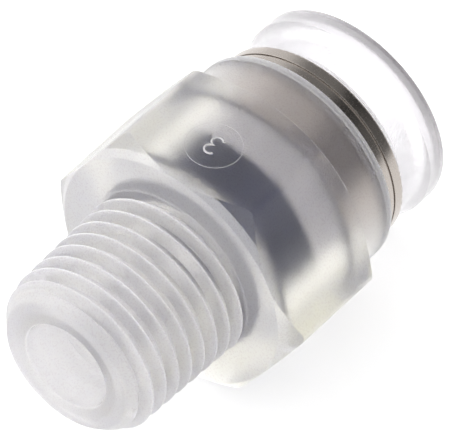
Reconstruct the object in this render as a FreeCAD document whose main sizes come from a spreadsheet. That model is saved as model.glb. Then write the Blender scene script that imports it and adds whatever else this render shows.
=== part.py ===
import FreeCAD, Part
import Sketcher
import os

# Straight push-in tube fitting with a male taper thread, lying on a flat of its hexagon.
# Every piece is drawn along +X from the thread's end face, with its axis on X, and then placed
# so that the origin is under the middle of the fitting, on the surface that it lies on.
document = FreeCAD.newDocument("PushInFitting")
sheet = document.addObject("Spreadsheet::Sheet", "Sizes")

# Driving sizes in millimetres, angles in degrees
driving = {
    # taper thread: its largest diameter at the gauge plane, and how it starts and ends
    "gauge_diameter": 13.157,
    "gauge_length": 6.0,
    "taper_ratio": 16.0,
    "spigot_length": 11.5,
    "neck_length": 0.3,
    "neck_diameter": 11.7,
    "end_face_diameter": 10.5,
    "end_chamfer_length": 1.4,
    "end_edge_size": 0.3,
    # hexagon with turned corners
    "across_flats": 19.0,
    "hex_length": 9.7,
    "corner_radius": 1.0,
    "bevel_inset": 0.05,
    "front_bevel": 1.36,
    "rear_bevel": 1.0,
    # socket, outside
    "socket_wall": 1.25,
    "rim_length": 0.2,
    "rim_drop": 0.06,
    # passage and socket, inside
    "bore_diameter": 7.0,
    "bore_step_at": 3.75,
    "passage_diameter": 7.8,
    "stop_depth": 0.7,
    "tube_seat_length": 1.6,
    "seal_room_length": 6.8,
    "seal_thickness": 1.9,
    "mouth_depth": 4.6,
    "mouth_step": 0.43,
    # the tube that goes in, and the play between pieces
    "tube_diameter": 10.0,
    "tube_clearance": 0.1,
    "seat_clearance": 0.03,
    "running_clearance": 0.08,
    # rubber seal
    "seal_length": 3.6,
    "lip_bite": 0.25,
    "lip_depth": 1.6,
    "lip_thickness": 0.7,
    # spring claws, and the room that the ring behind the seal leaves under them
    "claw_room": 0.25,
    "claw_thickness": 0.25,
    "claw_angle": 42.0,
    "claw_rim_width": 1.1,
    "claw_bite": 0.2,
    "claw_slot_width": 0.7,
    "claw_count": 12,
    # guide ring
    "guide_wall": 0.55,
    "lip_length": 1.5,
    "funnel_depth": 1.23,
    "collar_inset": 0.57,
    "collar_length": 2.05,
    "collar_bevel_length": 0.2,
    "collar_bevel_drop": 0.15,
    # release ring
    "ring_wall": 1.02,
    "release_travel": 1.0,
    "stop_clearance": 0.05,
    "nose_land": 0.5,
    "nose_gap": 0.1,
    "bead_height": 0.5,
    "bead_length": 0.9,
    "button_step": 1.01,
    "flare_length": 2.1,
    "button_overhang": 0.13,
    "button_rim_length": 1.65,
    "button_chamfer": 0.15,
    "entry_chamfer": 0.6,
    "slot_width": 0.8,
    "slot_length": 4.2,
    "slot_count": 4,
}
for row, (alias, number) in enumerate(driving.items(), start=1):
    sheet.set(f"A{row}", alias)
    sheet.set(f"B{row}", str(number))
    sheet.setAlias(f"B{row}", alias)
document.recompute()

# How far a cut runs past the face that it opens
overshoot = "1"

# Places along the axis, from the thread's end face
hex_front = "Sizes.spigot_length"
hex_rear = f"({hex_front} + Sizes.hex_length)"
tube_stop = f"({hex_front} + Sizes.stop_depth)"
seal_seat = f"({tube_stop} + Sizes.tube_seat_length)"
seal_back = f"({seal_seat} + Sizes.seal_length)"
claw_seat = f"({seal_seat} + Sizes.seal_room_length)"
guide_front = f"({claw_seat} + Sizes.claw_thickness)"
mouth = f"({claw_seat} + Sizes.mouth_depth)"
collar_end = f"({mouth} + Sizes.collar_length)"
funnel_end = f"({collar_end} - Sizes.funnel_depth)"
lip_front = f"({funnel_end} - Sizes.lip_length)"

# Radii that several pieces share
flat_radius = "(Sizes.across_flats / 2)"
corner_reach = "(Sizes.across_flats / sqrt(3))"
tube_way = "(Sizes.tube_diameter / 2 + Sizes.tube_clearance)"
seal_room_radius = f"({tube_way} + Sizes.seal_thickness)"
mouth_radius = f"({seal_room_radius} + Sizes.mouth_step)"
socket_radius = f"({mouth_radius} + Sizes.socket_wall)"
neck_radius = f"({tube_way} + Sizes.ring_wall)"
neck_way = f"({neck_radius} + Sizes.running_clearance)"
seal_outside = f"({seal_room_radius} - Sizes.seat_clearance)"
pressed_radius = f"({mouth_radius} - Sizes.seat_clearance)"
body_end_radius = f"({socket_radius} - Sizes.rim_drop)"
collar_radius = f"({body_end_radius} - Sizes.collar_inset)"
funnel_radius = f"({neck_way} + Sizes.funnel_depth)"
under_radius = f"({neck_radius} + Sizes.button_step)"
button_radius = f"({collar_radius} + Sizes.button_overhang)"

# The claws leave their flat rim at the bend and slope inwards, towards the thread
bend_radius = f"({pressed_radius} - Sizes.claw_rim_width)"
claw_tip = "(Sizes.tube_diameter / 2 - Sizes.claw_bite)"
tip_thickness_in = "(Sizes.claw_thickness * sin(Sizes.claw_angle))"
tip_thickness_along = "(Sizes.claw_thickness * cos(Sizes.claw_angle))"
claw_drop = f"(({bend_radius} - {claw_tip} - {tip_thickness_in}) * tan(Sizes.claw_angle))"
upper_bend = f"({bend_radius} - Sizes.claw_thickness * tan(Sizes.claw_angle / 2))"

# The release ring at rest: pushed in by its travel, its underside all but meets the guide
# ring's funnel, and its nose all but meets the claws
under_stop = f"({collar_end} - max(0; {funnel_radius} - {under_radius}))"
ring_under = f"({under_stop} + Sizes.stop_clearance + Sizes.release_travel)"
ring_rim = f"({ring_under} + Sizes.flare_length)"
ring_face = f"({ring_rim} + Sizes.button_rim_length)"
land_radius = f"({tube_way} + Sizes.nose_land)"
nose_chamfer = f"(({neck_radius} - {land_radius}) * tan(Sizes.claw_angle))"
claw_height = f"({guide_front} - ({upper_bend} - {land_radius}) * tan(Sizes.claw_angle))"
ring_nose = f"({claw_height} + Sizes.nose_gap / cos(Sizes.claw_angle) + Sizes.release_travel)"


def number_of(expression):
    return float(sheet.evalExpression(expression))


def origin_plane(body, role):
    return next(plane for plane in body.Origin.OriginFeatures if plane.Role == role)


def new_body(label):
    """The piece's own body, set down with the fitting's middle over the origin."""
    body = document.addObject("PartDesign::Body", label)
    body.Label = label
    body.setExpression("Placement.Base.x", f"-{ring_face} / 2")
    body.setExpression("Placement.Base.z", flat_radius)
    return body


def new_sketch(body, name, role, offset=None):
    sketch = body.newObject("Sketcher::SketchObject", name)
    sketch.AttachmentSupport = [(origin_plane(body, role), "")]
    sketch.MapMode = "FlatFace"
    if offset:
        sketch.setExpression("AttachmentOffset.Base.z", offset)
    return sketch


def pin_point(sketch, line, across, up):
    """Hold the start of a line at the two distances from the origin that the sheet gives."""
    for kind, expression in (("DistanceX", across), ("DistanceY", up)):
        held = number_of(expression)
        index = sketch.addConstraint(Sketcher.Constraint(kind, -1, 1, line, 1, held))
        sketch.setExpression(f"Constraints[{index}]", expression)


def draw_outline(sketch, corners):
    """A closed outline of straight sides, held at every corner."""
    points = [FreeCAD.Vector(number_of(across), number_of(up), 0) for across, up in corners]
    first_side = sketch.GeometryCount
    for side, start in enumerate(points):
        following = (side + 1) % len(points)
        sketch.addGeometry(Part.LineSegment(start, points[following]), False)
    for side, (across, up) in enumerate(corners):
        following = (side + 1) % len(corners)
        sketch.addConstraint(Sketcher.Constraint("Coincident", first_side + side, 2,
                                                 first_side + following, 1))
        pin_point(sketch, first_side + side, across, up)


def turn(body, name, corners, cut=False, more_corners=()):
    """The outline turned about the axis: added to the piece, or cut from it."""
    sketch = new_sketch(body, f"{name}_outline", "XZ_Plane")
    draw_outline(sketch, corners)
    if more_corners:
        draw_outline(sketch, more_corners)
    feature = body.newObject("PartDesign::Groove" if cut else "PartDesign::Revolution", name)
    feature.Profile = sketch
    feature.ReferenceAxis = (sketch, ["H_Axis"])
    feature.Angle = 360
    document.recompute()
    return feature


def round_edges(shape, places):
    """Names of the round edges about the axis that lie at the given places and radii."""
    names = []
    for across, up in places:
        place = number_of(across)
        radius = number_of(up)
        for index, edge in enumerate(shape.Edges, start=1):
            curve = edge.Curve
            if not isinstance(curve, Part.Circle):
                continue
            near = abs(curve.Center.x - place) < 1e-4 and abs(curve.Radius - radius) < 1e-4
            if near and abs(curve.Axis.x) > 0.999:
                names.append(f"Edge{index}")
    return names


def dress(body, kind, name, edges, size):
    """A fillet or chamfer on the newest feature's edges."""
    base = body.Tip
    feature = body.newObject(f"PartDesign::{kind}", name)
    feature.Base = (base, edges)
    feature.setExpression("Radius" if kind == "Fillet" else "Size", size)
    document.recompute()
    return feature


def repeat_about_axis(body, name, original, sketch, count, axis):
    pattern = body.newObject("PartDesign::PolarPattern", name)
    pattern.Originals = [original]
    pattern.Axis = (sketch, [axis])
    pattern.Angle = 360
    pattern.setExpression("Occurrences", count)
    body.Tip = pattern
    document.recompute()
    return pattern


def thread_radius(across):
    return f"(Sizes.gauge_diameter / 2 + ({across} - Sizes.gauge_length) / (2 * Sizes.taper_ratio))"


def make_body():
    """One moulding: thread spigot, hexagon and socket, with the passage through it."""
    body = new_body("body")
    hex_sketch = new_sketch(body, "hexagon_outline", "YZ_Plane", hex_front)
    turns = [60 * corner for corner in range(6)]
    draw_outline(hex_sketch, [(f"{corner_reach} * cos({turn_by})", f"{corner_reach} * sin({turn_by})")
                              for turn_by in turns])
    hexagon = body.newObject("PartDesign::Pad", "hexagon")
    hexagon.Profile = hex_sketch
    hexagon.setExpression("Length", "Sizes.hex_length")
    document.recompute()
    long_edges = [f"Edge{index}" for index, edge in enumerate(hexagon.Shape.Edges, start=1)
                  if abs(edge.tangentAt(edge.FirstParameter).x) > 0.999]
    dress(body, "Fillet", "hexagon_corners", long_edges, "Sizes.corner_radius")

    # both ends of the hexagon are turned to a cone that runs through its corners
    bevel_start = f"({flat_radius} - Sizes.bevel_inset)"
    bevel_reach = f"(2 * {corner_reach} - {bevel_start})"
    turn(body, "hexagon_bevels",
         [(hex_front, bevel_start),
          (f"{hex_front} + 2 * Sizes.front_bevel", bevel_reach),
          (f"{hex_front} - {overshoot}", bevel_reach)],
         cut=True,
         more_corners=[(hex_rear, bevel_start),
                       (f"{hex_rear} + {overshoot}", bevel_reach),
                       (f"{hex_rear} - 2 * Sizes.rear_bevel", bevel_reach)])

    # spigot at the size of its thread's crests, neck, and the socket with its turned rim
    thread_end = f"({hex_front} - Sizes.neck_length)"
    neck = "Sizes.neck_diameter / 2"
    inside_hex = f"({hex_front} + Sizes.front_bevel)"
    turn(body, "spigot_and_socket",
         [("0", "0"),
          ("0", "Sizes.end_face_diameter / 2"),
          ("Sizes.end_chamfer_length", thread_radius("Sizes.end_chamfer_length")),
          (thread_end, thread_radius(thread_end)),
          (f"{thread_end} + Sizes.neck_length / 2", neck),
          (inside_hex, neck),
          (inside_hex, socket_radius),
          (f"{mouth} - Sizes.rim_length", socket_radius),
          (mouth, body_end_radius),
          (mouth, "0")])

    # bore from the thread end, passage, tube stop, tube seat, seal room and mouth
    bore = "Sizes.bore_diameter / 2"
    passage = "Sizes.passage_diameter / 2"
    turn(body, "passage",
         [(f"-{overshoot}", "0"),
          (f"-{overshoot}", bore),
          ("Sizes.bore_step_at", bore),
          ("Sizes.bore_step_at", passage),
          (tube_stop, passage),
          (tube_stop, tube_way),
          (seal_seat, tube_way),
          (seal_seat, seal_room_radius),
          (claw_seat, seal_room_radius),
          (claw_seat, mouth_radius),
          (f"{mouth} + {overshoot}", mouth_radius),
          (f"{mouth} + {overshoot}", "0")],
         cut=True)
    edges = round_edges(body.Tip.Shape, [("0", "Sizes.end_face_diameter / 2")])
    dress(body, "Chamfer", "end_edge", edges, "Sizes.end_edge_size")
    return body


def make_tube_seal():
    """Lip seal of rubber, with its open channel towards the pressure."""
    body = new_body("tube_seal")
    lip = "(Sizes.tube_diameter / 2 - Sizes.lip_bite)"
    lip_end = f"({seal_seat} + Sizes.lip_depth / 4)"
    channel_end = f"({seal_seat} + Sizes.lip_depth)"
    turn(body, "lip_section",
         [(seal_seat, seal_outside),
          (seal_back, seal_outside),
          (seal_back, tube_way),
          (f"{channel_end} + Sizes.lip_thickness", tube_way),
          (f"{lip_end} + Sizes.lip_thickness", lip),
          (lip_end, lip),
          (lip_end, f"{lip} + Sizes.lip_thickness"),
          (channel_end, f"{tube_way} + Sizes.lip_thickness"),
          (channel_end, f"{seal_outside} - Sizes.lip_thickness"),
          (seal_seat, f"{seal_outside} - Sizes.lip_thickness")])
    return body


def make_backing_ring():
    """Ring that keeps the seal in its room, hollowed to leave the claws room to spring."""
    body = new_body("backing_ring")
    hollow_radius = f"({bend_radius} + Sizes.claw_room / sin(Sizes.claw_angle))"
    hollow_depth = f"(({hollow_radius} - {tube_way}) * tan(Sizes.claw_angle))"
    turn(body, "backing_section",
         [(seal_back, tube_way),
          (f"{claw_seat} - {hollow_depth}", tube_way),
          (claw_seat, hollow_radius),
          (claw_seat, seal_outside),
          (seal_back, seal_outside)])
    return body


def make_lock_claws():
    """Ring stamped from spring strip: a flat rim, and claws that slope in to the tube."""
    body = new_body("lock_claws")
    turn(body, "strip_section",
         [(claw_seat, pressed_radius),
          (guide_front, pressed_radius),
          (guide_front, upper_bend),
          (f"{claw_seat} - {claw_drop} + {tip_thickness_along}", claw_tip),
          (f"{claw_seat} - {claw_drop}", f"{claw_tip} + {tip_thickness_in}"),
          (claw_seat, bend_radius)])
    slot_sketch = new_sketch(body, "claw_slot_outline", "YZ_Plane", guide_front)
    half_slot = "Sizes.claw_slot_width / 2"
    draw_outline(slot_sketch,
                 [("0", f"-{half_slot}"),
                  (bend_radius, f"-{half_slot}"),
                  (bend_radius, half_slot),
                  ("0", half_slot)])
    slot = body.newObject("PartDesign::Pocket", "claw_slot")
    slot.Profile = slot_sketch
    slot.Type = "ThroughAll"
    document.recompute()
    repeat_about_axis(body, "claw_slots", slot, slot_sketch, "Sizes.claw_count", "N_Axis")
    return body


def make_guide_ring():
    """Steel ring pressed into the mouth: sleeve, inner lip for the release ring, rolled collar."""
    body = new_body("guide_ring")
    recess = f"({pressed_radius} - Sizes.guide_wall)"
    turn(body, "guide_section",
         [(guide_front, recess),
          (lip_front, recess),
          (lip_front, neck_way),
          (funnel_end, neck_way),
          (collar_end, funnel_radius),
          (collar_end, f"{collar_radius} - Sizes.collar_bevel_drop"),
          (f"{collar_end} - Sizes.collar_bevel_length", collar_radius),
          (mouth, collar_radius),
          (mouth, pressed_radius),
          (guide_front, pressed_radius)])
    return body


def make_release_ring():
    """Clear ring that is pushed in to spread the claws: nose, snap bead, neck and button."""
    body = new_body("release_ring")
    bead_back = f"({lip_front} - Sizes.stop_clearance)"
    bead_front = f"({bead_back} - Sizes.bead_length)"
    bead_radius = f"({neck_radius} + Sizes.bead_height)"
    turn(body, "ring_section",
         [(ring_nose, tube_way),
          (ring_nose, land_radius),
          (f"{ring_nose} + {nose_chamfer}", neck_radius),
          (f"{bead_front} - Sizes.bead_height", neck_radius),
          (bead_front, bead_radius),
          (bead_back, bead_radius),
          (bead_back, neck_radius),
          (ring_under, neck_radius),
          (ring_under, under_radius),
          (ring_rim, button_radius),
          (ring_face, button_radius),
          (ring_face, f"{tube_way} + Sizes.entry_chamfer"),
          (f"{ring_face} - Sizes.entry_chamfer", tube_way)])
    slot_sketch = new_sketch(body, "snap_slot_outline", "XY_Plane")
    half_slot = "Sizes.slot_width / 2"
    draw_outline(slot_sketch,
                 [(f"{ring_nose} - {overshoot}", f"-{half_slot}"),
                  (f"{ring_nose} + Sizes.slot_length", f"-{half_slot}"),
                  (f"{ring_nose} + Sizes.slot_length", half_slot),
                  (f"{ring_nose} - {overshoot}", half_slot)])
    slot = body.newObject("PartDesign::Pocket", "snap_slot")
    slot.Profile = slot_sketch
    slot.Type = "ThroughAll"
    document.recompute()
    repeat_about_axis(body, "snap_slots", slot, slot_sketch, "Sizes.slot_count", "H_Axis")
    edges = round_edges(body.Tip.Shape, [(ring_face, button_radius), (ring_rim, button_radius)])
    dress(body, "Chamfer", "button_edges", edges, "Sizes.button_chamfer")
    return body


pieces = [make_body(), make_tube_seal(), make_backing_ring(), make_lock_claws(),
          make_guide_ring(), make_release_ring()]
document.recompute()

for item in document.Objects:
    if "Invalid" in item.State or "Error" in item.State:
        raise RuntimeError(f"{item.Label} failed: {item.State}")
os.makedirs("parts", exist_ok=True)
for piece in pieces:
    shape = piece.Shape
    if shape.isNull() or not shape.isValid() or len(shape.Solids) != 1:
        raise RuntimeError(f"{piece.Label} isn't one valid solid")
    shape.exportStep(f"parts/{piece.Label}.step")
    box = shape.BoundBox
    print(f"{piece.Label:14s} {shape.Volume:8.1f} mm3  x {box.XMin:.2f} to {box.XMax:.2f}"
          f"  y {box.YMin:.2f} to {box.YMax:.2f}  z {box.ZMin:.2f} to {box.ZMax:.2f}")
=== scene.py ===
import math

import bmesh
import bpy
from mathutils import Matrix, Vector


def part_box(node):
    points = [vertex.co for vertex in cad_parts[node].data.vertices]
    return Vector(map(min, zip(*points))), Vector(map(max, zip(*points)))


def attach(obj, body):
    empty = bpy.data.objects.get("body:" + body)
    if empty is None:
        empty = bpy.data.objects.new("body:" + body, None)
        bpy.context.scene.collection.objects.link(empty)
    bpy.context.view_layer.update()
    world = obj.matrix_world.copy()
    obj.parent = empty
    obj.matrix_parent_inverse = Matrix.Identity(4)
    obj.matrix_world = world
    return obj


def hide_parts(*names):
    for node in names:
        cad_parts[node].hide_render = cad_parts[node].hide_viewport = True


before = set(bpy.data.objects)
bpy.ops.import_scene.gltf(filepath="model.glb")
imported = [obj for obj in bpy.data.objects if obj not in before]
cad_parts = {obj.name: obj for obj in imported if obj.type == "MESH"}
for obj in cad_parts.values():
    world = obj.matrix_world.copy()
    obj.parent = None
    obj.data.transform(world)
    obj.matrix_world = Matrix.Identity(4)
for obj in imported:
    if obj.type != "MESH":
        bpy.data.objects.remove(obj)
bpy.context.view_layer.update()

# Straight push-in fitting of frosted polypropylene, with a metal guide ring and a clear release
# ring. The axis lies along X. Sizes in the dictionaries are millimetres from the thread's end.

bodyLow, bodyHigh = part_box("body")
threadEnd = bodyLow.x
axisHeight = (bodyLow.z + bodyHigh.z) / 2
millimetre = 0.001
sides = 6               # of the hexagon
segments = 192          # steps round the axis
cornerCrowding = 0.75   # how far the steps crowd together at the hexagon's corners


def toLinear(hexColour):
    parts = [int(hexColour[i:i + 2], 16) / 255 for i in (1, 3, 5)]
    return tuple(c / 12.92 if c <= 0.04045 else ((c + 0.055) / 1.055) ** 2.4 for c in parts) + (1.0,)


# An input is a value, or what another node gives; a whole node stands for its first output
def setInputs(tree, node, inputs):
    for name, value in inputs.items() if isinstance(inputs, dict) else enumerate(inputs):
        if isinstance(value, bpy.types.Node):
            value = value.outputs[0]
        if isinstance(value, bpy.types.NodeSocket):
            tree.links.new(value, node.inputs[name])
        else:
            node.inputs[name].default_value = value


def addNode(tree, kind, inputs=(), **settings):
    node = tree.nodes.new(kind)
    for name, value in settings.items():
        setattr(node, name, value)
    setInputs(tree, node, inputs)
    return node


def turnAngle(step):
    even = 2 * math.pi * step / segments
    return even - cornerCrowding / sides * math.sin(sides * even)


def place(along, radius, angle):
    return Vector((threadEnd + along * millimetre,
                   radius * millimetre * math.cos(angle),
                   axisHeight + radius * millimetre * math.sin(angle)))


# Corners are (along, radius, rounding), in millimetres. Each rounded one becomes an arc of the same
# number of points.
def roundOutline(corners, closed=True, arcSteps=4, shortest=1e-6, nearlyStraight=1.55, mostOfSide=0.49):
    points = []
    for i, (along, radius, rounding) in enumerate(corners):
        here = Vector((along, radius))
        toBefore = Vector(corners[i - 1][:2]) - here
        toAfter = Vector(corners[(i + 1) % len(corners)][:2]) - here
        atEnd = not closed and i in (0, len(corners) - 1)
        if atEnd or rounding <= 0 or min(toBefore.length, toAfter.length) < shortest:
            points.append(here)
            continue
        half = toBefore.angle(toAfter) / 2
        if half > nearlyStraight:
            points.extend([here] * (arcSteps + 1))
            continue
        reach = min(rounding / math.tan(half), toBefore.length * mostOfSide, toAfter.length * mostOfSide)
        start = here + toBefore.normalized() * reach
        end = here + toAfter.normalized() * reach
        middle = here + (toBefore.normalized() + toAfter.normalized()).normalized() * (reach / math.cos(half))
        arm = reach * math.tan(half)
        first = math.atan2((start - middle).y, (start - middle).x)
        last = math.atan2((end - middle).y, (end - middle).x)
        opened = (last - first + math.pi) % (2 * math.pi) - math.pi
        for step in range(arcSteps + 1):
            angle = first + opened * step / arcSteps
            points.append(middle + Vector((math.cos(angle), math.sin(angle))) * arm)
    return points


def meshObject(name, mesh, material, sharpFrom=38):
    for polygon in mesh.polygons:
        polygon.use_smooth = True
    mesh.set_sharp_from_angle(angle=math.radians(sharpFrom))
    piece = bpy.data.objects.new(name, mesh)
    bpy.context.scene.collection.objects.link(piece)
    piece.data.materials.append(material)
    return piece


# Skins a ring of outlines, one for each step round the axis; all have the same number of points
def skinOutlines(shape, outlines, closed=True):
    rings = [[shape.verts.new(place(p.x, p.y, turnAngle(i))) for p in outline]
             for i, outline in enumerate(outlines)]
    count = len(outlines[0])
    for i, ring in enumerate(rings):
        following = rings[(i + 1) % len(rings)]
        for j in range(count if closed else count - 1):
            k = (j + 1) % count
            shape.faces.new((ring[j], ring[k], following[k], following[j]))


def finishMesh(name, shape, weld=2e-6, sliver=1e-7):
    bmesh.ops.remove_doubles(shape, verts=shape.verts, dist=weld)
    bmesh.ops.dissolve_degenerate(shape, edges=shape.edges, dist=sliver)
    bmesh.ops.recalc_face_normals(shape, faces=shape.faces)
    mesh = bpy.data.meshes.new(name)
    shape.to_mesh(mesh)
    shape.free()
    return mesh


def turnedPiece(name, corners, material, arcSteps=4):
    shape = bmesh.new()
    outline = roundOutline(corners, arcSteps=arcSteps)
    skinOutlines(shape, [outline] * segments)
    return meshObject(name, finishMesh(name, shape), material)


def newMaterial(name):
    material = bpy.data.materials.new(name)
    material.use_nodes = True
    tree = material.node_tree
    return material, tree, tree.nodes["Principled BSDF"]


# Distance of a point on the surface from the fitting's axis
def axisDistance(tree, coordinates):
    acrossAxis = (0, 1, 1)
    fromAxis = addNode(tree, "ShaderNodeVectorMath",
                       (coordinates.outputs["Object"], acrossAxis, (0, 0, -axisHeight)),
                       operation="MULTIPLY_ADD")
    return addNode(tree, "ShaderNodeVectorMath", (fromAxis,), operation="LENGTH").outputs["Value"]


# Breaks up the gloss with the grain of the surface, between the two roughnesses
def grainyGloss(tree, shader, look):
    coordinates = addNode(tree, "ShaderNodeTexCoord")
    grain = addNode(tree, "ShaderNodeTexNoise", {
        "Vector": coordinates.outputs["Object"], "Detail": 2.0,
        "Scale": 1 / (look["grainSize"] * millimetre)})
    gloss = addNode(tree, "ShaderNodeMapRange", {
        "Value": grain, "To Min": look["roughness"][0], "To Max": look["roughness"][1]})
    setInputs(tree, shader, {"Roughness": gloss})


# Natural polypropylene, injection moulded. It is milky and lets light through, and the mould's eroded
# cavity leaves it frosted, so that what lies inside shows soft and blurred.
def frostedPolypropylene():
    look = {"colour": "#FEFDFF", "ior": 1.49, "roughness": (0.26, 0.36),
            # an eroded mould's grain is about 0.03 mm, too fine to show, so it is drawn at 0.13 mm
            "grainSize": 0.13, "grainDepth": 0.045, "grainRelief": 0.6,
            "speckle": "#F2EEF2", "speckleFrom": 0.4, "speckleTo": 0.47,
            # the plastic's own scatter in each millimetre, most of it forwards
            "haze": 0.12, "forward": 0.72, "hazeColour": "#D6DAFF",
            # the socket's core pin was polished, so that the walls round seal and claws are smooth
            "polished": 0.12, "polishedInside": 7.6, "polishedFrom": 13.5,
            # the bore's pin wasn't: dull up to the step, and a little smoother in the passage
            "boreInside": 4.4, "boreRoughness": 0.5, "passageFrom": 3.76, "passageRoughness": 0.3,
            # clearness is the share of light that goes through; sharp edges get less of it, a painted
            # highlight along them
            "edgeFrom": 0.53, "edgeTo": 0.62, "edgeHighlightClearness": 0.35,
            # the spigot's wall is thick and milky, and the thread's crests are drawn paler still, a painted
            # highlight
            "milkyFrom": 4.4, "milkyTo": 11.95, "milkyClearness": 0.76,
            "crestRadius": 6.391, "crestTaper": 1 / 32, "crestDepth": 0.15, "crestHighlightClearness": 0.42,
            # front face of the hexagon, and the rim of the socket, which is drawn paler as a painted
            # highlight
            "faceFrom": 11.45, "faceClearness": 0.67, "rimFrom": 24.58, "rimHighlightClearness": 0.6}
    material, tree, shader = newMaterial("frosted_natural_polypropylene")
    coordinates = addNode(tree, "ShaderNodeTexCoord")
    along = addNode(tree, "ShaderNodeSeparateXYZ", (coordinates.outputs["Object"],)).outputs["X"]
    radius = axisDistance(tree, coordinates)
    grain = addNode(tree, "ShaderNodeTexNoise", {
        "Vector": coordinates.outputs["Object"], "Detail": 3.0,
        "Scale": 1 / (look["grainSize"] * millimetre)})

    within = {}     # 1 inside each of these radii, else 0
    for zone in ("polishedInside", "boreInside"):
        within[zone] = addNode(tree, "ShaderNodeMath", (radius, look[zone] * millimetre),
                               operation="LESS_THAN")
    behind = {}     # 1 behind each of these places along the axis, else 0
    for zone in ("polishedFrom", "passageFrom", "faceFrom", "rimFrom"):
        behind[zone] = addNode(tree, "ShaderNodeMath", (along, threadEnd + look[zone] * millimetre),
                               operation="GREATER_THAN")

    outerWall = addNode(tree, "ShaderNodeMapRange", {
        "Value": grain, "To Min": look["roughness"][0], "To Max": look["roughness"][1]})
    boreWall = addNode(tree, "ShaderNodeMapRange", {
        "Value": behind["passageFrom"], "To Min": look["boreRoughness"], "To Max": look["passageRoughness"]})
    unpolished = addNode(tree, "ShaderNodeMapRange", {
        "Value": within["boreInside"], "To Min": outerWall, "To Max": boreWall})
    polished = addNode(tree, "ShaderNodeMath", (within["polishedInside"], behind["polishedFrom"]),
                       operation="MULTIPLY")
    gloss = addNode(tree, "ShaderNodeMapRange", {
        "Value": polished, "To Min": unpolished, "To Max": look["polished"]})

    # Sharp edges, found by pointiness, let less light through: a painted highlight along them
    shape = addNode(tree, "ShaderNodeNewGeometry")
    edges = addNode(tree, "ShaderNodeMapRange", {
        "Value": shape.outputs["Pointiness"], "From Min": look["edgeFrom"], "From Max": look["edgeTo"],
        "To Min": 1.0, "To Max": look["edgeHighlightClearness"]})
    # A narrow band along the thread's crests lets less light through: a painted highlight on each crest
    crestLine = addNode(tree, "ShaderNodeMath", (along, -look["crestTaper"], radius),
                        operation="MULTIPLY_ADD")
    crestFoot = threadEnd * look["crestTaper"] - look["crestRadius"] * millimetre
    pastCrest = addNode(tree, "ShaderNodeMath", (crestLine, crestFoot), operation="ADD")
    offCrest = addNode(tree, "ShaderNodeMath", (pastCrest,), operation="ABSOLUTE")
    flank = addNode(tree, "ShaderNodeMapRange", {
        "Value": behind["faceFrom"], "To Min": look["milkyClearness"], "To Max": look["faceClearness"]})
    crest = addNode(tree, "ShaderNodeMapRange", {
        "Value": offCrest, "From Max": look["crestDepth"] * millimetre,
        "To Min": look["crestHighlightClearness"], "To Max": flank})
    onSpigot = addNode(tree, "ShaderNodeMath", (along, threadEnd + look["milkyTo"] * millimetre),
                       operation="LESS_THAN")
    outsideBore = addNode(tree, "ShaderNodeMath", (radius, look["milkyFrom"] * millimetre),
                          operation="GREATER_THAN")
    milkyZone = addNode(tree, "ShaderNodeMath", (onSpigot, outsideBore), operation="MULTIPLY")
    milky = addNode(tree, "ShaderNodeMapRange", {"Value": milkyZone, "To Min": 1.0, "To Max": crest})
    # Behind the rim's start the wall lets less light through: a painted highlight on the socket's rim
    rim = addNode(tree, "ShaderNodeMapRange", {
        "Value": behind["rimFrom"], "To Min": 1.0, "To Max": look["rimHighlightClearness"]})
    zones = addNode(tree, "ShaderNodeMath", (milky, rim), operation="MULTIPLY")
    clearness = addNode(tree, "ShaderNodeMath", (edges, zones), operation="MULTIPLY")

    speckle = addNode(tree, "ShaderNodeValToRGB", {"Fac": grain})
    stops = (look["speckleFrom"], look["speckle"]), (look["speckleTo"], look["colour"])
    for stop, (at, colour) in zip(speckle.color_ramp.elements, stops):
        stop.position = at
        stop.color = toLinear(colour)
    bump = addNode(tree, "ShaderNodeBump", {
        "Strength": look["grainRelief"], "Distance": look["grainDepth"] * millimetre, "Height": grain})
    setInputs(tree, shader, {"Base Color": speckle, "IOR": look["ior"], "Roughness": gloss,
                             "Transmission Weight": clearness, "Normal": bump})
    haze = addNode(tree, "ShaderNodeVolumeScatter", {
        "Color": toLinear(look["hazeColour"]), "Density": look["haze"] / millimetre,
        "Anisotropy": look["forward"]})
    setInputs(tree, tree.nodes["Material Output"], {"Volume": haze})
    return material


# The same polypropylene where a mould number stands out of it: its narrow ridges scatter most of
# the light, so that they show as pale lines on the frosted flat. The grain is drawn coarse here too.
def raisedPolypropylene():
    look = {"colour": "#F4F2F4", "ior": 1.49, "clearness": 0.35, "roughness": (0.3, 0.5), "grainSize": 0.1}
    material, tree, shader = newMaterial("raised_natural_polypropylene")
    setInputs(tree, shader, {"Base Color": toLinear(look["colour"]), "IOR": look["ior"],
                             "Transmission Weight": look["clearness"]})
    grainyGloss(tree, shader, look)
    return material


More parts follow.
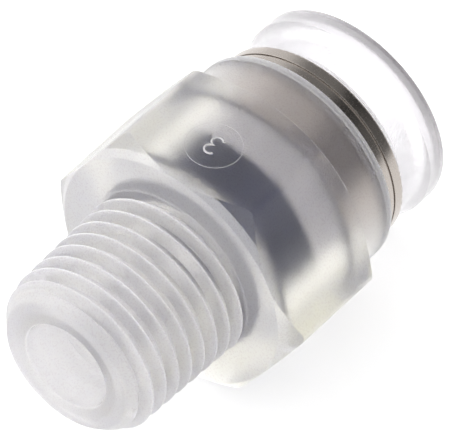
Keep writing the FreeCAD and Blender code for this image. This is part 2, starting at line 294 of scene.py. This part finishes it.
# Clarified polypropylene, injection moulded. The polished cavity gives it the look of slightly wavy
# glass outside, and the unpolished pin in its bore leaves the inside walls dull and pale.
def clarifiedPolypropylene():
    look = {"colour": "#F8F6F9", "ior": 1.49, "clearness": 0.95, "haze": 0.02,
            "outsideFrom": 6.9, "outerRoughness": 0.22, "innerRoughness": 0.6,
            # long waves where the melt cooled, and a grain that is drawn coarser than it is
            "flowSize": 3.0, "flowDepth": 0.02, "flowRelief": 0.5,
            "grainSize": 0.13, "grainDepth": 0.03, "grainRelief": 0.6}
    material, tree, shader = newMaterial("moulded_clarified_polypropylene")
    coordinates = addNode(tree, "ShaderNodeTexCoord")
    radius = axisDistance(tree, coordinates)
    outside = addNode(tree, "ShaderNodeMath", (radius, look["outsideFrom"] * millimetre),
                      operation="GREATER_THAN")
    gloss = addNode(tree, "ShaderNodeMapRange", {
        "Value": outside, "To Min": look["innerRoughness"], "To Max": look["outerRoughness"]})
    flow = addNode(tree, "ShaderNodeTexNoise", {
        "Vector": coordinates.outputs["Object"], "Detail": 1.0,
        "Scale": 1 / (look["flowSize"] * millimetre)})
    waves = addNode(tree, "ShaderNodeBump", {
        "Strength": look["flowRelief"], "Distance": look["flowDepth"] * millimetre, "Height": flow})
    grain = addNode(tree, "ShaderNodeTexNoise", {
        "Vector": coordinates.outputs["Object"], "Detail": 2.0,
        "Scale": 1 / (look["grainSize"] * millimetre)})
    bump = addNode(tree, "ShaderNodeBump", {
        "Strength": look["grainRelief"], "Distance": look["grainDepth"] * millimetre, "Height": grain,
        "Normal": waves})
    setInputs(tree, shader, {"Base Color": toLinear(look["colour"]), "IOR": look["ior"], "Roughness": gloss,
                             "Transmission Weight": look["clearness"], "Normal": bump})
    haze = addNode(tree, "ShaderNodeVolumeScatter", {
        "Color": toLinear(look["colour"]), "Density": look["haze"] / millimetre})
    setInputs(tree, tree.nodes["Material Output"], {"Volume": haze})
    return material


# Stainless steel, pressed from rolled strip: a warm grey metal with a satin face, which mirrors the
# light and dark round it in soft bands. The satin is finer than 0.2 mm, and drawn so to show.
def stainlessSteel():
    look = {"colour": "#AEA7A1", "roughness": (0.19, 0.33), "grainSize": 0.2}
    material, tree, shader = newMaterial("pressed_stainless_steel")
    setInputs(tree, shader, {"Base Color": toLinear(look["colour"]), "Metallic": 1.0})
    grainyGloss(tree, shader, look)
    return material


# Nitrile rubber, moulded and left matt: nearly black with a breath of blue, and hardly any shine.
# Its grain is drawn coarser than it is, so that it shows.
def nitrileRubber():
    look = {"colour": "#070A20", "roughness": (0.5, 0.7), "shine": 0.15, "grainSize": 0.3}
    material, tree, shader = newMaterial("moulded_nitrile_rubber")
    setInputs(tree, shader, {"Base Color": toLinear(look["colour"]), "Specular IOR Level": look["shine"]})
    grainyGloss(tree, shader, look)
    return material


polypropylene = frostedPolypropylene()
ridge = raisedPolypropylene()
clear = clarifiedPolypropylene()
steel = stainlessSteel()
rubber = nitrileRubber()
print("materials made")


# Taper thread: a band of quads that climbs with the helix, so that crest and root are mesh lines.
# It is cut down to a cone at each end, where it runs in at the chamfer and out at the hexagon.
thread = {"pitch": 1.337, "depth": 0.86, "gaugeRadius": 6.5785, "gaugePlace": 6.0, "taper": 1 / 32,
          "start": 0.3, "startRadius": 5.504, "startSlope": 0.8466, "softWithin": 0.3, "softness": 0.8,
          "end": 11.49, "endRadius": 5.85, "endSlope": 12.0,
          "rowsPerTurn": 24, "crestShare": 1 / 12, "rootShare": 1 / 4, "runIn": 0.55, "weld": 0.002}

# The math nodes of its tree: name, operation, then inputs. These are numbers, inputs of the tree by
# the names above, or earlier nodes.
threadMath = (
    ("columns", "ADD", "segments", 1),
    ("climbRows", "MULTIPLY", "rowsPerTurn", "turns"),
    ("rows", "ADD", "climbRows", 1),
    ("nearIndex", "ADD", "index", 0.25),            # keeps the rounding down safe
    ("columnShare", "DIVIDE", "nearIndex", "rows"),
    ("column", "FLOOR", "columnShare"),
    ("rowsBefore", "MULTIPLY", "column", "rows"),
    ("row", "SUBTRACT", "index", "rowsBefore"),
    # turn round the axis, crowded at the hexagon's corners
    ("evenShare", "DIVIDE", "column", "segments"),
    ("even", "MULTIPLY", "evenShare", 2 * math.pi),
    ("cornerTurn", "MULTIPLY", "even", sides),
    ("wave", "SINE", "cornerTurn"),
    ("swing", "DIVIDE", "crowding", sides),
    ("shift", "MULTIPLY", "wave", "swing"),
    ("angle", "SUBTRACT", "even", "shift"),
    ("share", "DIVIDE", "angle", 2 * math.pi),
    # way along the axis
    ("rowTurn", "DIVIDE", "row", "rowsPerTurn"),
    ("firstTurn", "SUBTRACT", "rowTurn", 1),
    ("turned", "ADD", "firstTurn", "share"),
    ("climbed", "MULTIPLY_ADD", "turned", "pitch", "start"),
    ("started", "MAXIMUM", "climbed", "start"),
    ("along", "MINIMUM", "started", "end"),
    # place between crest, 0, and root, 1
    ("fromStart", "SUBTRACT", "along", "start"),
    ("pitches", "DIVIDE", "fromStart", "pitch"),
    ("offHelix", "SUBTRACT", "pitches", "share"),
    ("aboveZero", "ADD", "offHelix", 8),            # whole turns, which the fraction drops
    ("phase", "FRACT", "aboveZero"),
    ("offMiddle", "SUBTRACT", "phase", 0.5),
    ("halfTurn", "ABSOLUTE", "offMiddle"),
    ("fromCrest", "MULTIPLY", "halfTurn", 2),
    ("rootFrom", "SUBTRACT", 1, "rootShare"),
    ("flankWidth", "SUBTRACT", "rootFrom", "crestShare"),
    ("pastCrest", "SUBTRACT", "fromCrest", "crestShare"),
    ("flankShare", "DIVIDE", "pastCrest", "flankWidth"),
    ("flankOrCrest", "MAXIMUM", "flankShare", 0),
    ("flank", "MINIMUM", "flankOrCrest", 1),
    # radius, less deep at the first thread, and never outside the two cones
    ("fromGauge", "SUBTRACT", "along", "gaugePlace"),
    ("crest", "MULTIPLY_ADD", "fromGauge", "taper", "gaugeRadius"),
    ("runInShare", "DIVIDE", "fromStart", "runIn"),
    ("depthShare", "MINIMUM", "runInShare", 1),
    ("fullDepth", "MULTIPLY", "depth", "depthShare"),
    ("cutDepth", "MULTIPLY", "flank", "fullDepth"),
    ("threaded", "SUBTRACT", "crest", "cutDepth"),
    ("startCone", "MULTIPLY_ADD", "fromStart", "startSlope", "startRadius"),
    ("toEnd", "SUBTRACT", "end", "along"),
    ("endCone", "MULTIPLY_ADD", "toEnd", "endSlope", "endRadius"),
    ("softLength", "MINIMUM", "fromStart", "softWithin"),
    ("soft", "MULTIPLY", "softLength", "softness"),
    ("chamfered", "SMOOTH_MIN", "threaded", "startCone", "soft"),
    ("radius", "MINIMUM", "chamfered", "endCone"),
    ("cosine", "COSINE", "angle"),
    ("across", "MULTIPLY", "radius", "cosine"),
    ("sine", "SINE", "angle"),
    ("height", "MULTIPLY", "radius", "sine"))


def threadTree(values):
    tree = bpy.data.node_groups.new("taperThread", "GeometryNodeTree")
    socketKinds = {float: "NodeSocketFloat", int: "NodeSocketInt", bpy.types.Material: "NodeSocketMaterial"}
    for name, value in values.items():
        tree.interface.new_socket(name, in_out="INPUT", socket_type=socketKinds[type(value)])
    tree.interface.new_socket("Geometry", in_out="OUTPUT", socket_type="NodeSocketGeometry")
    known = {socket.name: socket for socket in addNode(tree, "NodeGroupInput").outputs}
    known["index"] = addNode(tree, "GeometryNodeInputIndex")
    for name, operation, *sources in threadMath:
        known[name] = addNode(tree, "ShaderNodeMath", [known.get(source, source) for source in sources],
                              operation=operation)
    grid = addNode(tree, "GeometryNodeMeshGrid", {
        "Vertices X": known["columns"], "Vertices Y": known["rows"]})
    spot = addNode(tree, "ShaderNodeCombineXYZ", (known["along"], known["across"], known["height"]))
    moved = addNode(tree, "GeometryNodeSetPosition", {"Geometry": grid, "Position": spot})
    welded = addNode(tree, "GeometryNodeMergeByDistance", {"Geometry": moved, "Distance": known["weld"]})
    realized = addNode(tree, "GeometryNodeRealizeInstances", {"Geometry": welded})
    finished = addNode(tree, "GeometryNodeSetMaterial", {"Geometry": realized, "Material": known["material"]})
    addNode(tree, "NodeGroupOutput", {"Geometry": finished})
    return tree


def threadMesh():
    turns = math.ceil((thread["end"] - thread["start"]) / thread["pitch"]) + 1
    values = {**thread, "turns": turns, "segments": segments, "crowding": cornerCrowding,
              "material": polypropylene}
    tree = threadTree(values)
    holder = bpy.data.objects.new("threadHolder", bpy.data.meshes.new("threadHolder"))
    bpy.context.scene.collection.objects.link(holder)
    modifier = holder.modifiers.new("taperThread", "NODES")
    modifier.node_group = tree
    for item in tree.interface.items_tree:
        if item.in_out == "INPUT":
            modifier[item.identifier] = values[item.name]
    graph = bpy.context.evaluated_depsgraph_get()
    mesh = bpy.data.meshes.new_from_object(holder.evaluated_get(graph))
    bpy.data.objects.remove(holder)
    mesh.transform(Matrix.Translation((threadEnd, 0, axisHeight)) @ Matrix.Scale(millimetre, 4))
    return mesh


# Hexagon, socket and everything inside, from the end of the thread round to its start
shell = {"neck": 5.85, "hexFront": 11.5, "hexRear": 21.2, "flatRadius": 9.5, "cornerRound": 1.0,
         "bevelStart": 9.45, "frontSlope": 0.896, "rearSlope": 0.659,
         "edgeRound": 0.16, "rootRound": 0.3, "socket": 8.68, "rimFrom": 25.0, "mouth": 25.2,
         "mouthOutside": 8.62, "mouthInside": 7.43, "clawSeat": 20.6, "sealRoom": 7.0, "sealSeat": 13.8,
         "tubeSeat": 5.1, "tubeStop": 12.2, "passage": 3.9, "boreStep": 3.75, "bore": 3.5,
         "endFace": 5.25, "endRound": 0.45}


# Distance from the axis to the hexagon's rounded outline
def hexagonReach(angle, flat, cornerRound):
    halfSide = math.pi / sides
    fromFlat = abs((angle % (2 * halfSide)) - halfSide)
    straight = flat / math.cos(fromFlat)
    centre = (flat - cornerRound) / math.cos(halfSide)
    off = halfSide - fromFlat
    inside = cornerRound ** 2 - (centre * math.sin(off)) ** 2
    if inside <= 0:
        return straight
    arc = centre * math.cos(off) + math.sqrt(inside)
    tangentOff = math.atan2(cornerRound / 2, centre + cornerRound * math.cos(halfSide))
    return arc if off < tangentOff else straight


def shellOutline(angle):
    reach = hexagonReach(angle, shell["flatRadius"], shell["cornerRound"])
    front = shell["hexFront"] + (reach - shell["bevelStart"]) * shell["frontSlope"]
    rear = shell["hexRear"] - (reach - shell["bevelStart"]) * shell["rearSlope"]
    return roundOutline([
        (thread["end"], shell["neck"], 0),
        (shell["hexFront"], shell["neck"], 0),
        (shell["hexFront"], shell["bevelStart"], shell["edgeRound"]),
        (front, reach, shell["edgeRound"]),
        (rear, reach, shell["edgeRound"]),
        (shell["hexRear"], shell["bevelStart"], shell["edgeRound"]),
        (shell["hexRear"], shell["socket"], shell["rootRound"]),
        (shell["rimFrom"], shell["socket"], 0.2),
        (shell["mouth"], shell["mouthOutside"], 0.04),
        (shell["mouth"], shell["mouthInside"], 0.1),
        (shell["clawSeat"], shell["mouthInside"], 0.05),
        (shell["clawSeat"], shell["sealRoom"], 0.05),
        (shell["sealSeat"], shell["sealRoom"], 0.1),
        (shell["sealSeat"], shell["tubeSeat"], 0.1),
        (shell["tubeStop"], shell["tubeSeat"], 0.1),
        (shell["tubeStop"], shell["passage"], 0.1),
        (shell["boreStep"], shell["passage"], 0.05),
        (shell["boreStep"], shell["bore"], 0.1),
        (0, shell["bore"], 0.15),
        (0, shell["endFace"], shell["endRound"]),
        (thread["start"], thread["startRadius"], 0)], closed=False)


def bodyMesh():
    shape = bmesh.new()
    shape.from_mesh(threadMesh())
    skinOutlines(shape, [shellOutline(turnAngle(i)) for i in range(segments)], closed=False)
    return finishMesh("moulded_body", shape)


mouldedBody = meshObject("moulded_body", bodyMesh(), polypropylene)
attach(mouldedBody, "fitting")
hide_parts("body")
print("body made:", len(mouldedBody.data.polygons), "faces")

# Metal ring pressed into the mouth: a sleeve, a lip and a collar with a hairline groove
guide = {"sleeve": 7.40, "front": 20.85, "recess": 6.85, "lipFront": 24.52, "neckWay": 6.20,
         "funnelEnd": 26.02, "collarEnd": 27.25, "funnel": 7.43, "collarFace": 7.95, "bevelFrom": 27.12,
         "collar": 8.05, "mouth": 25.2, "grooveAt": 26.27, "grooveWidth": 0.16, "grooveDepth": 0.16}
grooveBack = guide["grooveAt"] + guide["grooveWidth"] / 2
grooveFront = guide["grooveAt"] - guide["grooveWidth"] / 2
grooveFloor = guide["collar"] - guide["grooveDepth"]
guideRing = turnedPiece("steel_guide_ring", [
    (guide["front"], guide["sleeve"], 0.08),
    (guide["front"], guide["recess"], 0.08),
    (guide["lipFront"], guide["recess"], 0.1),
    (guide["lipFront"], guide["neckWay"], 0.1),
    (guide["funnelEnd"], guide["neckWay"], 0.2),
    (guide["collarEnd"], guide["funnel"], 0.15),
    (guide["collarEnd"], guide["collarFace"], 0.06),
    (guide["bevelFrom"], guide["collar"], 0.1),
    (grooveBack, guide["collar"], 0.03),
    (grooveBack, grooveFloor, 0.02),
    (grooveFront, grooveFloor, 0.02),
    (grooveFront, guide["collar"], 0.03),
    (guide["mouth"], guide["collar"], 0.08),
    (guide["mouth"], guide["sleeve"], 0.05)], steel, arcSteps=6)
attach(guideRing, "fitting")
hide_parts("guide_ring")
print("guide ring made")

# Mushroom-shaped ring that is pressed to let the tube go; its bead hangs behind the guide ring's lip
release = {"nose": 21.441, "way": 5.1, "land": 5.6, "neck": 6.12, "noseChamfer": 0.468,
           "beadFoot": 23.07, "beadFront": 23.57, "beadBack": 24.47, "bead": 6.62,
           "under": 28.0, "underRadius": 7.13, "rim": 30.1, "outer": 8.18, "face": 31.75, "entry": 0.6}
releaseRing = turnedPiece("clear_release_ring", [
    (release["nose"], release["way"], 0.05),
    (release["nose"], release["land"], 0.05),
    (release["nose"] + release["noseChamfer"], release["neck"], 0.05),
    (release["beadFoot"], release["neck"], 0.1),
    (release["beadFront"], release["bead"], 0.1),
    (release["beadBack"], release["bead"], 0.1),
    (release["beadBack"], release["neck"], 0.1),
    (release["under"], release["neck"], 0.25),
    (release["under"], release["underRadius"], 0.15),
    (release["rim"], release["outer"], 0.3),
    (release["face"], release["outer"], 0.3),
    (release["face"], release["way"] + release["entry"], 0.2),
    (release["face"] - release["entry"], release["way"], 0.2)], clear, arcSteps=6)
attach(releaseRing, "release")
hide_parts("release_ring")
print("release ring made")

# Lip seal: its lip leans towards the bore, where the pressure is, and stands into the tube's way
seal = {"front": 13.8, "back": 17.4, "outside": 6.97, "lip": 4.75, "way": 5.1, "lipDepth": 1.6,
        "lipThickness": 0.7}
lipRoot = seal["front"] + seal["lipDepth"]
lipTip = seal["front"] + seal["lipDepth"] / 4
lipSeal = turnedPiece("rubber_lip_seal", [
    (seal["front"], seal["outside"], 0.1),
    (seal["back"], seal["outside"], 0.1),
    (seal["back"], seal["way"], 0.2),
    (lipRoot + seal["lipThickness"], seal["way"], 0.3),
    (lipTip + seal["lipThickness"], seal["lip"], 0.2),
    (lipTip, seal["lip"], 0.1),
    (lipTip, seal["lip"] + seal["lipThickness"], 0.1),
    (lipRoot, seal["way"] + seal["lipThickness"], 0.2),
    (lipRoot, seal["outside"] - seal["lipThickness"], 0.2),
    (seal["front"], seal["outside"] - seal["lipThickness"], 0.1)], rubber)
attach(lipSeal, "fitting")
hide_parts("tube_seal")
print("lip seal made")

# Raised mould number in its thin ring, on the flat that faces up; a plain digit of two bows. Sizes
# of the bows are shares of the digit's height.
mark = {"along": 15.65, "across": 0.16, "turn": 90, "digitHeight": 1.6, "stroke": 0.09,
        "bow": 0.26, "bowSteps": 12, "ringRadius": 2.05, "ringStroke": 0.02, "ringSteps": 60}


def drawStroke(name, points, closed, thickness):
    curve = bpy.data.curves.new(name, "CURVE")
    curve.dimensions = "3D"
    curve.bevel_depth = thickness * millimetre
    curve.bevel_resolution = 3
    curve.use_fill_caps = True
    line = curve.splines.new("POLY")
    line.points.add(len(points) - 1)
    line.use_cyclic_u = closed
    top = axisHeight + shell["flatRadius"] * millimetre
    for spot, (along, across) in zip(line.points, points):
        spot.co = (threadEnd + along * millimetre, across * millimetre, top, 1)
    holder = bpy.data.objects.new(name, curve)
    bpy.context.scene.collection.objects.link(holder)
    graph = bpy.context.evaluated_depsgraph_get()
    mesh = bpy.data.meshes.new_from_object(holder.evaluated_get(graph))
    mesh.name = name
    bpy.data.objects.remove(holder)
    piece = meshObject(name, mesh, ridge)
    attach(piece, "fitting")


def digitPoints():
    points = []
    for middle, first, last in ((mark["bow"], 150, -90), (-mark["bow"], 90, -150)):
        for step in range(mark["bowSteps"] + 1):
            bend = math.radians(first + (last - first) * step / mark["bowSteps"])
            points.append((mark["bow"] * math.cos(bend), middle + mark["bow"] * math.sin(bend)))
    turn = math.radians(mark["turn"])
    return [(mark["along"] + mark["digitHeight"] * (x * math.cos(turn) - y * math.sin(turn)),
             mark["across"] + mark["digitHeight"] * (x * math.sin(turn) + y * math.cos(turn)))
            for x, y in points]


def ringPoints():
    turns = [math.radians(360 / mark["ringSteps"] * step) for step in range(mark["ringSteps"])]
    return [(mark["along"] + mark["ringRadius"] * math.cos(turn),
             mark["across"] + mark["ringRadius"] * math.sin(turn)) for turn in turns]


drawStroke("mould_number", digitPoints(), False, mark["stroke"])
drawStroke("mould_number_ring", ringPoints(), True, mark["ringStroke"])
print("mould number made")

# The two hidden pieces keep their solids
for nodeName, material in (("backing_ring", polypropylene), ("lock_claws", steel)):
    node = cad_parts[nodeName]
    node.data.materials.clear()
    node.data.materials.append(material)
print("backing ring and claws dressed")


# White floor. The camera sees it lifted to white, and rays that come off metal or through plastic
# see it as evenly lit paper. Its shadow stays.
def makeFloor():
    look = {"size": 4.0, "lit": 0.85, "lift": 0.55, "throughGlass": 1.45}
    mesh = bpy.data.meshes.new("floor")
    half = look["size"] / 2
    corners = [(-half, -half, 0), (half, -half, 0), (half, half, 0), (-half, half, 0)]
    mesh.from_pydata(corners, [], [(0, 1, 2, 3)])
    floor = bpy.data.objects.new("floor", mesh)
    bpy.context.scene.collection.objects.link(floor)
    material = bpy.data.materials.new("white_floor")
    material.use_nodes = True
    tree = material.node_tree
    tree.nodes.clear()
    path = addNode(tree, "ShaderNodeLightPath").outputs
    matt = addNode(tree, "ShaderNodeBsdfDiffuse", {"Color": (look["lit"],) * 3 + (1.0,)})
    glow = addNode(tree, "ShaderNodeEmission", {"Strength": look["lift"]})
    lifted = addNode(tree, "ShaderNodeAddShader", (matt, glow))
    paper = addNode(tree, "ShaderNodeEmission", {"Strength": look["throughGlass"]})
    glassy = addNode(tree, "ShaderNodeMath", (path["Is Glossy Ray"], path["Is Transmission Ray"]),
                     operation="MAXIMUM")
    forCamera = addNode(tree, "ShaderNodeMixShader", (path["Is Camera Ray"], matt, lifted))
    choice = addNode(tree, "ShaderNodeMixShader", (glassy, forCamera, paper))
    addNode(tree, "ShaderNodeOutputMaterial", {"Surface": choice})
    mesh.materials.append(material)


# Soft studio light from all round, with a dark and a grey side that give metal and frosted walls
# their shading. Rays through the plastic see those sides paler, at least at the level named through.
def makeWorld():
    look = {"light": 1.45,
            "darkWay": (0.54, -0.71, 0.45), "darkFrom": 0.72, "darkTo": 0.82, "darkShare": 0.15,
            "greyWay": (0.60, 0.05, 0.80), "greyFrom": 0.68, "greyTo": 0.9, "greyShare": 0.25,
            "darkThrough": 0.18, "greyThrough": 0.74}
    world = bpy.data.worlds.new("studio")
    bpy.context.scene.world = world
    world.use_nodes = True
    tree = world.node_tree
    tree.nodes.clear()
    coordinates = addNode(tree, "ShaderNodeTexCoord")
    path = addNode(tree, "ShaderNodeLightPath").outputs
    levels = []
    for side in ("dark", "grey"):
        towards = addNode(tree, "ShaderNodeVectorMath",
                          (coordinates.outputs["Generated"], Vector(look[side + "Way"]).normalized()),
                          operation="DOT_PRODUCT").outputs["Value"]
        fade = addNode(tree, "ShaderNodeMapRange", {
            "Value": towards, "From Min": look[side + "From"], "From Max": look[side + "To"],
            "To Min": 1.0, "To Max": look[side + "Share"]})
        through = addNode(tree, "ShaderNodeMath", (path["Is Transmission Ray"], look[side + "Through"]),
                          operation="MULTIPLY")
        levels.append(addNode(tree, "ShaderNodeMapRange", {"Value": fade, "To Min": through}))
    shading = addNode(tree, "ShaderNodeMath", levels, operation="MULTIPLY")
    strength = addNode(tree, "ShaderNodeMath", (shading, look["light"]), operation="MULTIPLY")
    lit = addNode(tree, "ShaderNodeBackground", {"Strength": strength})
    plain = addNode(tree, "ShaderNodeBackground", {"Color": (1, 1, 1, 1), "Strength": 1.0})
    choice = addNode(tree, "ShaderNodeMixShader", (path["Is Camera Ray"], lit, plain))
    addNode(tree, "ShaderNodeOutputWorld", {"Surface": choice})


# One large soft lamp, which gives the object a faint shadow on the floor
def makeLamp():
    look = {"spot": (-0.12, 0.42, 0.26), "target": (0, 0, 0.01), "size": 0.5, "power": 0.8}
    lamp = bpy.data.lights.new("key", "AREA")
    lamp.shape = "DISK"
    lamp.size = look["size"]
    lamp.energy = look["power"]
    holder = bpy.data.objects.new("key", lamp)
    holder.location = look["spot"]
    towards = Vector(look["target"]) - Vector(look["spot"])
    holder.rotation_euler = towards.to_track_quat("-Z", "Y").to_euler()
    bpy.context.scene.collection.objects.link(holder)


# Far off with a long lens, so that the view is nearly parallel. Angles are in degrees.
def makeCamera():
    view = {"tiltToAxis": 57.6, "roll": 26.4, "axisOnImage": 42.3, "pixelsPerMm": 14.45, "imageWidth": 451,
            "centreAlong": 17.72, "centreAcross": -0.154, "lens": 1200, "sensor": 36,
            "clipStart": 0.01, "clipEnd": 10}
    tilt = math.radians(view["tiltToAxis"])
    roll = math.radians(view["roll"])
    lean = math.radians(view["axisOnImage"])
    back = Vector((-math.cos(tilt), -math.sin(tilt) * math.sin(roll), math.sin(tilt) * math.cos(roll)))
    across = Vector((0, -math.cos(roll), -math.sin(roll)))
    alongImage = (Vector((1, 0, 0)) - back * back.x).normalized()
    right = alongImage * math.cos(lean) + across * math.sin(lean)
    up = alongImage * math.sin(lean) - across * math.cos(lean)
    camera = bpy.data.cameras.new("camera")
    camera.lens = view["lens"]
    camera.sensor_width = view["sensor"]
    camera.clip_start = view["clipStart"]
    camera.clip_end = view["clipEnd"]
    distance = view["lens"] / view["sensor"] * view["imageWidth"] / view["pixelsPerMm"] * millimetre
    target = Vector((threadEnd + view["centreAlong"] * millimetre, 0, axisHeight))
    target += across * view["centreAcross"] * millimetre
    holder = bpy.data.objects.new("camera", camera)
    turn = Matrix((right, up, back)).transposed().to_4x4()
    holder.matrix_world = Matrix.Translation(target + back * distance) @ turn
    bpy.context.scene.collection.objects.link(holder)
    bpy.context.scene.camera = holder


makeFloor()
makeWorld()
makeLamp()
makeCamera()
bpy.context.scene.view_settings.view_transform = "Standard"
# light crosses many frosted walls before it comes out of the body
bpy.context.scene.cycles.volume_bounces = 16
bpy.context.scene.cycles.max_bounces = 32
bpy.context.scene.cycles.transmission_bounces = 24
print("floor, light and camera made")
